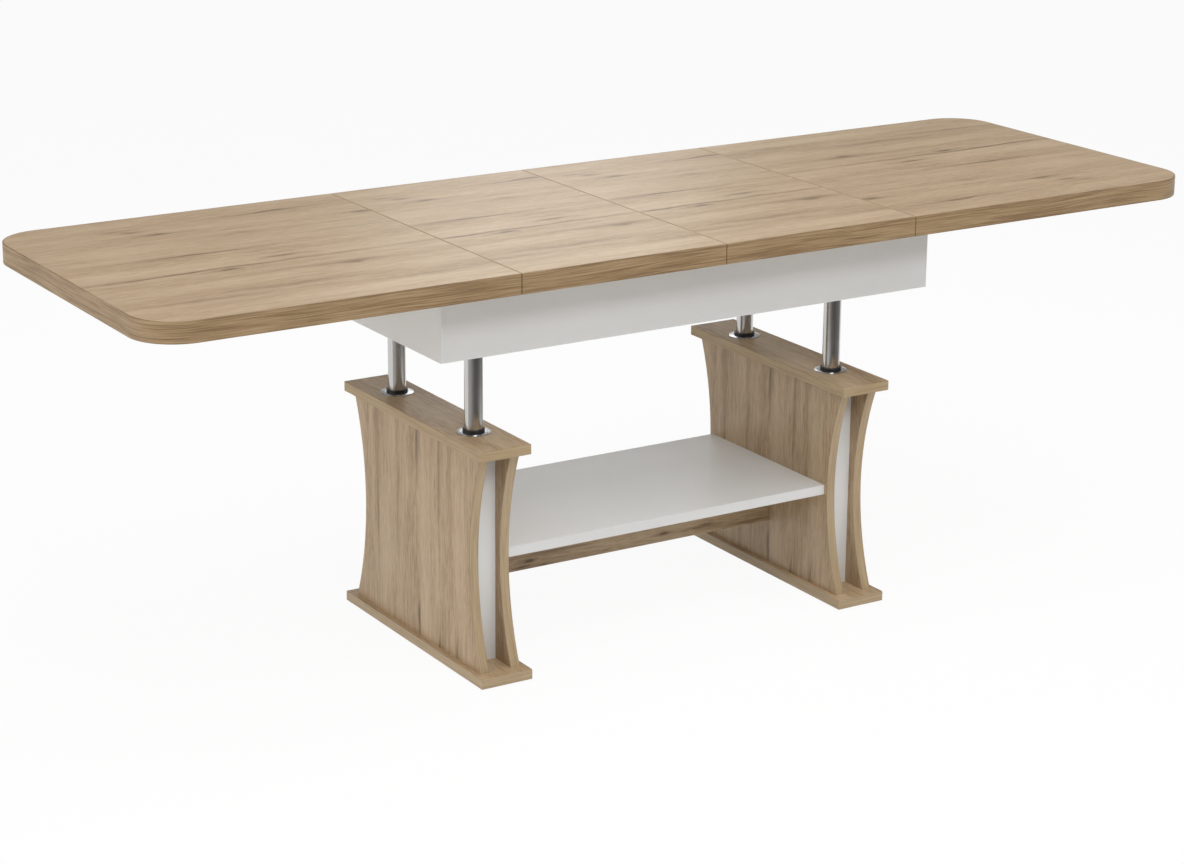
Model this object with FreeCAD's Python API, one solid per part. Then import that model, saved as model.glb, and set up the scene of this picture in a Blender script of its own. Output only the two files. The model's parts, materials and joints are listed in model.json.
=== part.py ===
import FreeCAD, Part
import math
import os

# Extending lift-up coffee table, drawn raised and fully extended.
# Millimetres, +X along the top, +Y to the rear, +Z up, origin on the floor under the middle of the top.

Vector = FreeCAD.Vector
X_AXIS = Vector(1, 0, 0)
Y_AXIS = Vector(0, 1, 0)
Z_AXIS = Vector(0, 0, 1)
LEFT, RIGHT = -1, 1
FRONT, REAR = -1, 1
SIDES = {"left": LEFT, "right": RIGHT}
ENDS = {"front": FRONT, "rear": REAR}

# Table top
leaf_length = 650.0
insert_length = 400.0
top_width = 680.0
top_thickness = 36.0
top_corner_radius = 82.0
edge_band_thickness = 2.0
edge_band_rounding = 1.0
seam_gap = 0.8
seam_rounding = 0.5

# Apron box under the top
apron_length = 1000.0
apron_width = 500.0
apron_height = 124.0
apron_board_thickness = 18.0
apron_floor_thickness = 16.0
floor_dowel_inset = 152.0
board_edge_rounding = 0.8

# Height adjustment
lift_travel = 150.0
lift_clearance = 16.0
column_diameter = 32.0
column_wall = 1.5
column_spacing = 276.0
column_side_gap = 5.0
column_floor_gap = 6.0
running_clearance = 0.1

# Column flanges under the apron floor
flange_diameter = 70.0
flange_thickness = 4.0
flange_screw_count = 3
flange_screw_circle = 52.0

# Collars on the pedestal caps
bush_wall = 2.0
bush_lip_width = 1.2
bush_lip_height = 7.0
bush_tail = 6.0
bush_lip_rounding = 0.8
ring_width = 10.4
ring_height = 2.2
ring_rim = 1.0
ring_neck = 2.0

# Pedestals
leg_inset = 124.0
glide_height = 2.0
glide_diameter = 24.0
glide_inset = 26.0
foot_thickness = 18.0
foot_lip = 11.0
foot_margin = 24.0
cap_thickness = 18.0
cap_lip = 11.0
cap_margin = 19.0
plate_edge_rounding = 1.0
side_board_thickness = 18.0
waist_margin = 15.0
waist_hollow = 38.0
panel_thickness = 16.0
panel_column_gap = 5.0

# Shelf and stretcher rail
shelf_thickness = 18.0
shelf_rise = 183.0
shelf_setback = 8.0
shelf_dowel_inset = 60.0
stretcher_height = 102.0
stretcher_thickness = 18.0
stretcher_dowel_spacing = 50.0

# Gas springs and lift yokes inside the pedestals
bracket_height = 12.0
bracket_length = 36.0
bracket_width = 30.0
rod_diameter = 10.0
rod_thread_diameter = 8.0
rod_thread_length = 8.0
rod_shortest_exposed = 8.0
rod_engagement = 20.0
piston_height = 8.0
piston_clearance = 0.3
cylinder_diameter = 22.0
cylinder_wall = 2.0
cylinder_head = 8.0
cylinder_cap = 4.0
cylinder_spare_length = 40.0
yoke_thickness = 6.0
yoke_side_gap = 2.0
yoke_headroom = 20.0
stud_diameter = 8.0
stud_thread_spare = 3.0
nut_sides = 6
nut_across_flats = 13.0
nut_height = 6.5

# Lower column guides
guide_height = 36.0
guide_length = 54.0
guide_tube_lead = 4.0

# Leaf slides and hangers
slide_height = 27.0
slide_depth = 10.0
slide_sheet = 1.2
slide_gap = 0.4
slide_lip = 5.0
slide_stem_gap = 1.4
slide_drop = 1.0
slide_centre_gap = 32.0
hanger_width = 18.0
hanger_height = 26.0
hanger_screw_inset = 55.0
notch_clearance = 1.0

# Fasteners
hole_clearance = 0.1
hole_bottom_gap = 0.5
dowel_diameter = 8.0
dowel_length = 30.0
dowel_short_end = 10.0
peg_depth = 10.0
peg_length = 22.0
peg_clearance = 0.3
confirmat_grip = 30.0
hanger_screw_grip = 16.0
guide_screw_grip = 12.0
flange_screw_grip = 9.5
flange_screw_head_height = 2.5

# Levels above the floor, worked out from the sizes above
foot_bottom = glide_height
foot_top = foot_bottom + foot_thickness
cylinder_length = lift_travel + cylinder_spare_length
yoke_bottom = foot_top + bracket_height + rod_shortest_exposed + lift_travel + cylinder_length
yoke_top = yoke_bottom + yoke_thickness
leg_top = yoke_top + yoke_headroom
cap_top = leg_top + cap_thickness
apron_bottom = cap_top + lift_clearance + lift_travel
apron_top = apron_bottom + apron_height
apron_floor_bottom = apron_bottom + flange_thickness
apron_floor_top = apron_floor_bottom + apron_floor_thickness
column_bottom = foot_top + lift_travel + column_floor_gap
guide_bottom = column_bottom + guide_tube_lead
shelf_bottom = foot_top + shelf_rise
slide_top = apron_top - slide_drop
slide_bottom = slide_top - slide_height
hanger_bottom = apron_top - hanger_height
notch_bottom = min(slide_bottom, hanger_bottom) - notch_clearance

# Plan positions, worked out from the sizes above
column_radius = column_diameter / 2
column_y = column_spacing / 2
leg_gap = column_diameter + 2 * column_side_gap
leg_box = leg_gap + 2 * side_board_thickness
leg_centre = apron_length / 2 - leg_inset
shelf_length = 2 * (leg_centre - leg_gap / 2 - side_board_thickness)
side_board_offset = (leg_gap + side_board_thickness) / 2
panel_inner_y = column_y + column_radius + panel_column_gap
panel_outer_y = panel_inner_y + panel_thickness
waist_half = panel_outer_y + waist_margin
leg_end_half = waist_half + waist_hollow
foot_half_length = leg_end_half + foot_margin
cap_half_length = leg_end_half + cap_margin
apron_end_inner = apron_length / 2 - apron_board_thickness
apron_side_inner = apron_width / 2 - apron_board_thickness
slide_length = apron_end_inner - slide_centre_gap
hanger_inner = apron_side_inner - slide_depth - hanger_width
bush_radius = column_radius + running_clearance + bush_wall
bush_lip_radius = bush_radius + bush_lip_width

# Screws, each as long as what it passes through and its grip
flange_screw_length = flange_screw_head_height + flange_thickness + flange_screw_grip
confirmat = {"head": 10.0, "head_height": 4.0, "shank": 6.6, "length": foot_thickness + confirmat_grip}
hanger_screw = {"head": 8.0, "head_height": 4.0, "shank": 4.4, "length": hanger_height + hanger_screw_grip}
guide_screw = {"head": 7.0, "head_height": 4.0, "shank": 4.0, "length": leg_gap + guide_screw_grip}
flange_screw = {"head": 8.0, "head_height": flange_screw_head_height, "shank": 4.4,
                "length": flange_screw_length}


def box(x_range, y_range, z_range):
    """Block between two values on each axis, in either order."""
    low = Vector(min(x_range), min(y_range), min(z_range))
    high = Vector(max(x_range), max(y_range), max(z_range))
    size = high - low
    return Part.makeBox(size.x, size.y, size.z, low)


def rod(radius, start, axis, length):
    """Round bar from a start point along an axis."""
    return Part.makeCylinder(radius, length, start, axis)


def post(radius, x, y, bottom, length):
    """Upright round bar."""
    return rod(radius, Vector(x, y, bottom), Z_AXIS, length)


def span(centre, half):
    """Range of a given half width about a centre."""
    return (centre - half, centre + half)


def screw(kind, start, axis):
    """Screw whose head begins at the start point and whose tip lies along the axis."""
    head = rod(kind["head"] / 2, start, axis, kind["head_height"])
    shank = rod(kind["shank"] / 2, start, axis, kind["length"])
    return head.fuse(shank).removeSplitter()


def screw_hole(kind, start, axis):
    """Room for a sunk screw: head pocket open at the start, clearance all round the shank."""
    pocket = rod(kind["head"] / 2 + hole_clearance, start, axis, kind["head_height"])
    shank = rod(kind["shank"] / 2 + hole_clearance, start, axis, kind["length"] + hole_bottom_gap)
    return pocket.fuse(shank)


def shank_hole(kind, start, axis):
    """Room for the shank of a screw whose head stays outside."""
    return rod(kind["shank"] / 2 + hole_clearance, start, axis, kind["length"] + hole_bottom_gap)


def dowel(start, axis):
    return rod(dowel_diameter / 2, start, axis, dowel_length)


def dowel_hole(start, axis):
    hole_start = start - axis * hole_bottom_gap
    return rod(dowel_diameter / 2 + hole_clearance, hole_start, axis, dowel_length + 2 * hole_bottom_gap)


def drill(shape, holes):
    """Cut those holes that reach into the shape."""
    reached = [hole for hole in holes if shape.BoundBox.intersect(hole.BoundBox)]
    if not reached:
        return shape
    return shape.cut(reached)


def picked_edges(shape, wanted):
    """Edges picked by a test on each edge's middle point and bounding box."""
    return [edge for edge in shape.Edges if wanted(edge.CenterOfMass, edge.BoundBox)]


def round_edges(shape, radius, wanted):
    return shape.makeFillet(radius, picked_edges(shape, wanted))


def extrude_along_x(outline, start, length):
    """Solid from an outline of (y, z) points, drawn at one X and pulled along X."""
    points = [Vector(start, y, z) for y, z in outline]
    points.append(points[0])
    return Part.Face(Part.makePolygon(points)).extrude(X_AXIS * length)


# Fastener places: each entry is a start point and an axis

def quarter_points(low, high):
    """The two places a quarter of the way in from either end."""
    quarter = (high - low) / 4
    return (low + quarter, high - quarter)


def foot_screw_places():
    """Confirmats up through the foot plates into the side boards and the white panels."""
    places = []
    for side in SIDES.values():
        centre = side * leg_centre
        for end in ENDS.values():
            panel_y = end * (panel_inner_y + panel_outer_y) / 2
            places.append((Vector(centre, panel_y, foot_bottom), Z_AXIS))
            for offset in (-side_board_offset, side_board_offset):
                places.append((Vector(centre + offset, end * column_y, foot_bottom), Z_AXIS))
    return places


def cap_dowel_places():
    """Dowels standing in the side boards and reaching into the caps."""
    places = []
    for side in SIDES.values():
        for end in ENDS.values():
            for offset in (-side_board_offset, side_board_offset):
                start_z = leg_top + dowel_short_end - dowel_length
                places.append((Vector(side * leg_centre + offset, end * column_y, start_z), Z_AXIS))
    return places


def shelf_dowel_places():
    """Dowels from the inner side boards into the ends of the shelf and the stretcher rail."""
    places = []
    shelf_z = shelf_bottom + shelf_thickness / 2
    for side in SIDES.values():
        start_x = side * (shelf_length / 2 + dowel_short_end)
        for end in ENDS.values():
            shelf_y = end * (waist_half - shelf_setback - shelf_dowel_inset)
            places.append((Vector(start_x, shelf_y, shelf_z), X_AXIS * -side))
            rail_z = shelf_bottom - stretcher_height / 2 + end * stretcher_dowel_spacing / 2
            places.append((Vector(start_x, 0, rail_z), X_AXIS * -side))
    return places


def apron_dowel_places():
    """Dowels from the long apron boards into the end boards and the apron floor."""
    places = []
    floor_z = (apron_floor_bottom + apron_floor_top) / 2
    floor_dowel_x = apron_end_inner - floor_dowel_inset
    corner_x = apron_length / 2 - apron_board_thickness / 2
    corner_low, corner_high = quarter_points(apron_bottom, slide_bottom)
    for end in ENDS.values():
        start_y = end * (apron_side_inner + dowel_short_end)
        for x in (-floor_dowel_x, 0, floor_dowel_x):
            places.append((Vector(x, start_y, floor_z), Y_AXIS * -end))
        for side in SIDES.values():
            for z in (corner_low, corner_high):
                places.append((Vector(side * corner_x, start_y, z), Y_AXIS * -end))
    return places


def guide_screw_places():
    """Two screws through each lower guide into the outer side board."""
    places = []
    for side in SIDES.values():
        start_x = side * (leg_centre - leg_gap / 2)
        for end in ENDS.values():
            screw_y = end * (panel_inner_y - guide_length + column_y - column_radius) / 2
            for z in quarter_points(guide_bottom, guide_bottom + guide_height):
                places.append((Vector(start_x, screw_y, z), X_AXIS * side))
    return places


def flange_screw_places():
    """Screws up through each column flange; the start lies under the flange, at the screw head."""
    places = []
    for side in SIDES.values():
        for end in ENDS.values():
            for step in range(flange_screw_count):
                angle = 2 * math.pi * step / flange_screw_count
                x = side * leg_centre + flange_screw_circle / 2 * math.cos(angle)
                y = end * column_y + flange_screw_circle / 2 * math.sin(angle)
                places.append((Vector(x, y, apron_bottom - flange_screw["head_height"]), Z_AXIS))
    return places


def hanger_screw_places(side):
    """Screws up through the hangers into the leaf board."""
    places = []
    inner_end, outer_end = hanger_range(side)
    for end in ENDS.values():
        y = end * (hanger_inner + hanger_width / 2)
        for x in (inner_end + side * hanger_screw_inset, (inner_end + outer_end) / 2,
                  outer_end - side * hanger_screw_inset):
            places.append((Vector(x, y, hanger_bottom), Z_AXIS))
    return places


def insert_peg_places(side):
    """Pegs under an insert that drop into the top edges of the long apron boards."""
    places = []
    peg_y = apron_width / 2 - apron_board_thickness / 2
    for end in ENDS.values():
        for x in quarter_points(0, side * insert_length):
            places.append(Vector(x, end * peg_y, apron_top - peg_depth))
    return places


def peg_hole(start):
    return rod(dowel_diameter / 2 + peg_clearance, start - Z_AXIS * hole_bottom_gap, Z_AXIS, peg_length)


def place_all(maker, places, kind=None):
    """One fastener or hole at each of a list of places."""
    if kind is None:
        return [maker(start, axis) for start, axis in places]
    return [maker(kind, start, axis) for start, axis in places]


# Pedestals

def glides():
    pads = []
    for side in SIDES.values():
        for end in ENDS.values():
            for offset in (-side_board_offset, side_board_offset):
                x = side * leg_centre + offset
                y = end * (foot_half_length - glide_inset)
                pads.append(rod(glide_diameter / 2, Vector(x, y, 0), Z_AXIS, glide_height))
    return pads


def rounded_plate(centre, half_width, half_length, bottom, thickness):
    plate = box(span(centre, half_width), span(0, half_length), (bottom, bottom + thickness))
    return plate.makeFillet(plate_edge_rounding, plate.Edges)


def foot_plate(side):
    half_width = leg_box / 2 + foot_lip
    plate = rounded_plate(side * leg_centre, half_width, foot_half_length, foot_bottom, foot_thickness)
    return drill(plate, place_all(screw_hole, foot_screw_places(), confirmat))


def cap_plate(side):
    half_width = leg_box / 2 + cap_lip
    plate = rounded_plate(side * leg_centre, half_width, cap_half_length, leg_top, cap_thickness)
    bores = [post(bush_radius + hole_clearance, side * leg_centre, end * column_y, leg_top, cap_thickness)
             for end in ENDS.values()]
    return drill(plate, bores + place_all(dowel_hole, cap_dowel_places()))


def side_board(side, offset):
    """Pedestal board with hollowed front and rear edges."""
    face_x = side * leg_centre + offset - side_board_thickness / 2
    waist_z = (foot_top + leg_top) / 2

    def corner(y, z):
        return Vector(face_x, y, z)

    front_foot, front_waist = corner(-leg_end_half, foot_top), corner(-waist_half, waist_z)
    front_top, rear_top = corner(-leg_end_half, leg_top), corner(leg_end_half, leg_top)
    rear_waist, rear_foot = corner(waist_half, waist_z), corner(leg_end_half, foot_top)
    front_edge = Part.Arc(front_foot, front_waist, front_top)
    top_edge = Part.LineSegment(front_top, rear_top)
    rear_edge = Part.Arc(rear_top, rear_waist, rear_foot)
    foot_edge = Part.LineSegment(rear_foot, front_foot)
    edges = [front_edge.toShape(), top_edge.toShape(), rear_edge.toShape(), foot_edge.toShape()]
    board = Part.Face(Part.Wire(edges)).extrude(X_AXIS * side_board_thickness)

    def hollow_edge(middle, bounds):
        return bounds.ZLength > (leg_top - foot_top) / 2 and bounds.YLength > waist_hollow / 2

    board = board.makeChamfer(board_edge_rounding, picked_edges(board, hollow_edge))
    tools = place_all(screw_hole, foot_screw_places(), confirmat)
    tools += place_all(dowel_hole, cap_dowel_places())
    tools += place_all(dowel_hole, shelf_dowel_places())
    tools += place_all(screw_hole, guide_screw_places(), guide_screw)
    return drill(board, tools)


def pedestal_panel(side, end):
    """White filler panel between the side boards."""
    panel = box(span(side * leg_centre, leg_gap / 2), (end * panel_inner_y, end * panel_outer_y),
                (foot_top, leg_top))
    return drill(panel, place_all(screw_hole, foot_screw_places(), confirmat))


def shelf():
    board = box(span(0, shelf_length / 2), span(0, waist_half - shelf_setback),
                (shelf_bottom, shelf_bottom + shelf_thickness))

    def long_edge(middle, bounds):
        return bounds.XLength > shelf_length / 2

    board = round_edges(board, board_edge_rounding, long_edge)
    return drill(board, place_all(dowel_hole, shelf_dowel_places()))


def stretcher_rail():
    rail = box(span(0, shelf_length / 2), span(0, stretcher_thickness / 2),
               (shelf_bottom - stretcher_height, shelf_bottom))

    def lower_edge(middle, bounds):
        return bounds.XLength > shelf_length / 2 and middle.z < shelf_bottom - stretcher_height / 2

    rail = round_edges(rail, board_edge_rounding, lower_edge)
    return drill(rail, place_all(dowel_hole, shelf_dowel_places()))


# Collars

def corners():
    return [(side, end) for side in SIDES.values() for end in ENDS.values()]


def column_centres():
    return [(side * leg_centre, end * column_y) for side, end in corners()]


def collar_bush(x, y):
    """Black bush through the cap with a lip standing above it."""
    bottom = leg_top - bush_tail
    body = post(bush_radius, x, y, bottom, cap_thickness + bush_tail)
    lip = post(bush_lip_radius, x, y, cap_top, bush_lip_height)

    def lip_rim(middle, bounds):
        return bounds.ZLength < hole_clearance and middle.z > cap_top + bush_lip_height / 2

    lip = round_edges(lip, bush_lip_rounding, lip_rim)
    bore = post(column_radius + running_clearance, x, y, bottom, cap_thickness + bush_tail + bush_lip_height)
    return body.fuse(lip).cut(bore).removeSplitter()


def collar_ring(x, y):
    """Domed chrome ring round the lip of the bush."""
    inner = bush_lip_radius + hole_clearance
    outer = inner + ring_width
    shoulder = inner + ring_neck

    def at(radius, height):
        return Vector(x + radius, y, cap_top + height)

    # The dome is level at the shoulder and drops to the rim on one arc
    run = outer - shoulder
    drop = ring_height - ring_rim
    bend_radius = (run * run + drop * drop) / (2 * drop)
    half_turn = math.asin(run / bend_radius) / 2
    dome_middle = at(shoulder + bend_radius * math.sin(half_turn),
                     ring_height - bend_radius * (1 - math.cos(half_turn)))
    dome = Part.Arc(at(outer, ring_rim), dome_middle, at(shoulder, ring_height)).toShape()
    lines = [(at(shoulder, ring_height), at(inner, ring_height)), (at(inner, ring_height), at(inner, 0)),
             (at(inner, 0), at(outer, 0)), (at(outer, 0), at(outer, ring_rim))]
    edges = [dome] + [Part.LineSegment(start, stop).toShape() for start, stop in lines]
    return Part.Face(Part.Wire(edges)).revolve(Vector(x, y, 0), Z_AXIS, 360)


# Columns and what holds them

def column(x, y):
    length = apron_bottom - column_bottom
    tube = post(column_radius, x, y, column_bottom, length)
    return tube.cut(post(column_radius - column_wall, x, y, column_bottom, length))


def column_flange(x, y):
    plate = post(flange_diameter / 2, x, y, apron_bottom, flange_thickness)
    return drill(plate, place_all(shank_hole, flange_screw_places(), flange_screw))


def guide_block(side, end):
    """Plastic block low in the pedestal in which a column slides."""
    y_range = (end * panel_inner_y, end * (panel_inner_y - guide_length))
    block = box(span(side * leg_centre, leg_gap / 2), y_range, (guide_bottom, guide_bottom + guide_height))
    bore_radius = column_radius + running_clearance
    bore = post(bore_radius, side * leg_centre, end * column_y, guide_bottom, guide_height)
    return drill(block, [bore] + place_all(screw_hole, guide_screw_places(), guide_screw))


def lift_yoke(side):
    """Flat bar joining the front and rear columns inside the pedestal."""
    centre = side * leg_centre
    bar = box(span(centre, leg_gap / 2 - yoke_side_gap), span(0, panel_inner_y - yoke_side_gap),
              (yoke_bottom, yoke_top))
    bores = [post(stud_diameter / 2 + hole_clearance, centre, 0, yoke_bottom, yoke_thickness)]
    weld_radius = column_radius + hole_clearance
    for end in ENDS.values():
        bores.append(post(weld_radius, centre, end * column_y, yoke_bottom, yoke_thickness))
    return drill(bar, bores)


def gas_spring_cylinder(side):
    """Hollow cylinder hung from the yoke by a stud, rod opening downwards."""
    centre = side * leg_centre
    bottom = yoke_bottom - cylinder_length
    body = post(cylinder_diameter / 2, centre, 0, bottom, cylinder_length)
    bore_length = cylinder_length - cylinder_head - cylinder_cap
    bore = post(cylinder_diameter / 2 - cylinder_wall, centre, 0, bottom + cylinder_head, bore_length)
    rod_hole = post(rod_diameter / 2 + running_clearance, centre, 0, bottom, cylinder_head)
    stud = post(stud_diameter / 2, centre, 0, yoke_bottom, yoke_thickness + nut_height + stud_thread_spare)
    return body.fuse(stud).cut([bore, rod_hole]).removeSplitter()


def gas_spring_rod(side):
    """Rod standing on its bracket, with a thread below and a piston above."""
    centre = side * leg_centre
    bottom = foot_top + bracket_height
    length = rod_shortest_exposed + lift_travel + rod_engagement
    shaft = post(rod_diameter / 2, centre, 0, bottom, length)
    thread = post(rod_thread_diameter / 2, centre, 0, bottom - rod_thread_length, rod_thread_length)
    piston_radius = cylinder_diameter / 2 - cylinder_wall - piston_clearance
    piston = post(piston_radius, centre, 0, bottom + length - piston_height, piston_height)
    return shaft.fuse([thread, piston]).removeSplitter()


def gas_spring_bracket(side):
    centre = side * leg_centre
    top = foot_top + bracket_height
    block = box(span(centre, bracket_length / 2), span(0, bracket_width / 2), (foot_top, top))
    thread_radius = rod_thread_diameter / 2 + hole_clearance
    return drill(block, [post(thread_radius, centre, 0, top - rod_thread_length, rod_thread_length)])


def yoke_nut(side):
    corner_radius = nut_across_flats / 2 / math.cos(math.pi / nut_sides)
    points = []
    for step in range(nut_sides + 1):
        angle = 2 * math.pi * step / nut_sides
        points.append(Vector(side * leg_centre + corner_radius * math.cos(angle),
                             corner_radius * math.sin(angle), yoke_top))
    prism = Part.Face(Part.makePolygon(points)).extrude(Z_AXIS * nut_height)
    return prism.cut(post(stud_diameter / 2 + hole_clearance, side * leg_centre, 0, yoke_top, nut_height))


# Apron

def apron_long_board(end):
    board = box(span(0, apron_length / 2), (end * apron_side_inner, end * apron_width / 2),
                (apron_bottom, apron_top))

    def outer_edge(middle, bounds):
        on_face = abs(abs(middle.y) - apron_width / 2) < hole_clearance
        below_top = middle.z < apron_top - board_edge_rounding
        return on_face and below_top

    board = round_edges(board, board_edge_rounding, outer_edge)
    tools = place_all(dowel_hole, apron_dowel_places())
    for side in SIDES.values():
        tools += [peg_hole(start) for start in insert_peg_places(side)]
    return drill(board, tools)


def apron_end_board(side):
    """End board, notched at both top corners for the slides and hangers."""
    x_range = (side * apron_end_inner, side * apron_length / 2)
    board = box(x_range, span(0, apron_side_inner), (apron_bottom, apron_top))
    notches = []
    for end in ENDS.values():
        y_range = (end * apron_side_inner, end * (hanger_inner - notch_clearance))
        notches.append(box(x_range, y_range, (notch_bottom, apron_top)))
    return drill(board, notches + place_all(dowel_hole, apron_dowel_places()))


def apron_floor():
    panel = box(span(0, apron_end_inner), span(0, apron_side_inner), (apron_floor_bottom, apron_floor_top))
    tools = place_all(dowel_hole, apron_dowel_places())
    tools += place_all(shank_hole, flange_screw_places(), flange_screw)
    return drill(panel, tools)


# Leaf slides: three nested members, drawn out as far as the inserts need

def slide_range(side, pulled_out):
    """X range of a slide member that has moved outwards by a distance."""
    return (side * (apron_end_inner - slide_length + pulled_out), side * (apron_end_inner + pulled_out))


def hanger_range(side):
    return slide_range(side, insert_length)


def lipped_channel(end, margin, lip):
    """Outline of a channel open towards the middle of the table, set inside the slide by a margin."""
    back, front = margin, slide_depth - margin
    low, high = margin, slide_height - margin
    sheet = slide_sheet
    lower_half = [(back, low), (front, low), (front, low + lip), (front - sheet, low + lip),
                  (front - sheet, low + sheet), (back + sheet, low + sheet)]
    upper_half = [(depth, low + high - height) for depth, height in reversed(lower_half)]
    outline = lower_half + upper_half
    return [slide_point(end, depth, height) for depth, height in outline]


def slide_point(end, depth, height):
    """Slide coordinates (depth in from the apron board, height from the slide's underside) to (y, z)."""
    return (end * (apron_side_inner - depth), slide_bottom + height)


def member_step():
    """How far each nested member lies inside the one around it."""
    return slide_sheet + slide_gap


def slide_member(side, outline, pulled_out):
    start, stop = slide_range(side, pulled_out)
    return extrude_along_x(outline, min(start, stop), abs(stop - start))


def slide_outer(side, end):
    return slide_member(side, lipped_channel(end, 0, slide_lip), 0)


def slide_middle(side, end):
    return slide_member(side, lipped_channel(end, member_step(), slide_lip), insert_length / 2)


def slide_inner(side, end):
    """T-shaped bar: the head runs inside the middle member, the stem comes out to the hanger."""
    back = 2 * member_step()
    head_front = slide_depth - 2 * member_step()
    low, high = 2 * member_step(), slide_height - 2 * member_step()
    stem_low = member_step() + slide_lip + slide_stem_gap
    stem_high = slide_height - stem_low
    outline = [(back, low), (head_front, low), (head_front, stem_low), (slide_depth, stem_low),
               (slide_depth, stem_high), (head_front, stem_high), (head_front, high), (back, high)]
    points = [slide_point(end, depth, height) for depth, height in outline]
    return slide_member(side, points, insert_length)


# Top panels

def panel_face(start, stop, half_width, corner_radius, height):
    """Plan outline from the seam to the outer end, with rounded outer corners if a radius is given."""
    outward = 1 if stop > start else -1

    def at(x, y):
        return Vector(x, y, height)

    front_seam, rear_seam = at(start, -half_width), at(start, half_width)
    if corner_radius == 0:
        corners = [front_seam, at(stop, -half_width), at(stop, half_width), rear_seam, front_seam]
        return Part.Face(Part.makePolygon(corners))
    bend_x = stop - outward * corner_radius
    bend_y = half_width - corner_radius
    diagonal = corner_radius / math.sqrt(2)
    front_bend = Part.Arc(at(bend_x, -half_width), at(bend_x + outward * diagonal, -bend_y - diagonal),
                          at(stop, -bend_y))
    rear_bend = Part.Arc(at(stop, bend_y), at(bend_x + outward * diagonal, bend_y + diagonal),
                         at(bend_x, half_width))
    lines = [(front_seam, at(bend_x, -half_width)), (at(stop, -bend_y), at(stop, bend_y)),
             (at(bend_x, half_width), rear_seam), (rear_seam, front_seam)]
    front, outer, rear, seam = [Part.LineSegment(first, last).toShape() for first, last in lines]
    return Part.Face(Part.Wire([front, front_bend.toShape(), outer, rear_bend.toShape(), rear, seam]))


def top_panel(start, stop, corner_radius, tools):
    """Board and edge band of one top panel; start is the X of its inner seam."""
    outward = 1 if stop > start else -1
    band = edge_band_thickness
    inner_radius = max(corner_radius - band, 0)
    outer_face = panel_face(start, stop, top_width / 2, corner_radius, apron_top)
    inner_face = panel_face(start + outward * band, stop - outward * band, top_width / 2 - band, inner_radius,
                            apron_top)
    outer_block = outer_face.extrude(Z_AXIS * top_thickness)
    board = inner_face.extrude(Z_AXIS * top_thickness)

    def seam_edge(middle, bounds):
        """Level edge of some length along a seam."""
        at_start = abs(middle.x - start) < hole_clearance
        at_square_stop = corner_radius == 0 and abs(middle.x - stop) < hole_clearance
        level = bounds.ZLength < hole_clearance and bounds.YLength > top_thickness
        return level and (at_start or at_square_stop)

    def outer_edge(middle, bounds):
        return bounds.ZLength < hole_clearance and not seam_edge(middle, bounds)

    rounded = round_edges(outer_block, edge_band_rounding, outer_edge)
    rounded = round_edges(rounded, seam_rounding, seam_edge)
    edge_band = rounded.cut(board)
    return drill(board, tools), edge_band


def leaf(side):
    start = side * (insert_length + seam_gap / 2)
    stop = side * (insert_length + leaf_length)
    tools = place_all(screw_hole, hanger_screw_places(side), hanger_screw)
    return top_panel(start, stop, top_corner_radius, tools)


def leaf_hanger(side, end):
    y_range = (end * hanger_inner, end * (hanger_inner + hanger_width))
    batten = box(hanger_range(side), y_range, (hanger_bottom, apron_top))
    return drill(batten, place_all(screw_hole, hanger_screw_places(side), hanger_screw))


def insert(side):
    start = side * seam_gap / 2
    stop = side * (insert_length - seam_gap / 2)
    sockets = [rod(dowel_diameter / 2 + hole_clearance, place, Z_AXIS, peg_length + hole_bottom_gap)
               for place in insert_peg_places(side)]
    return top_panel(start, stop, 0, sockets)


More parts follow.
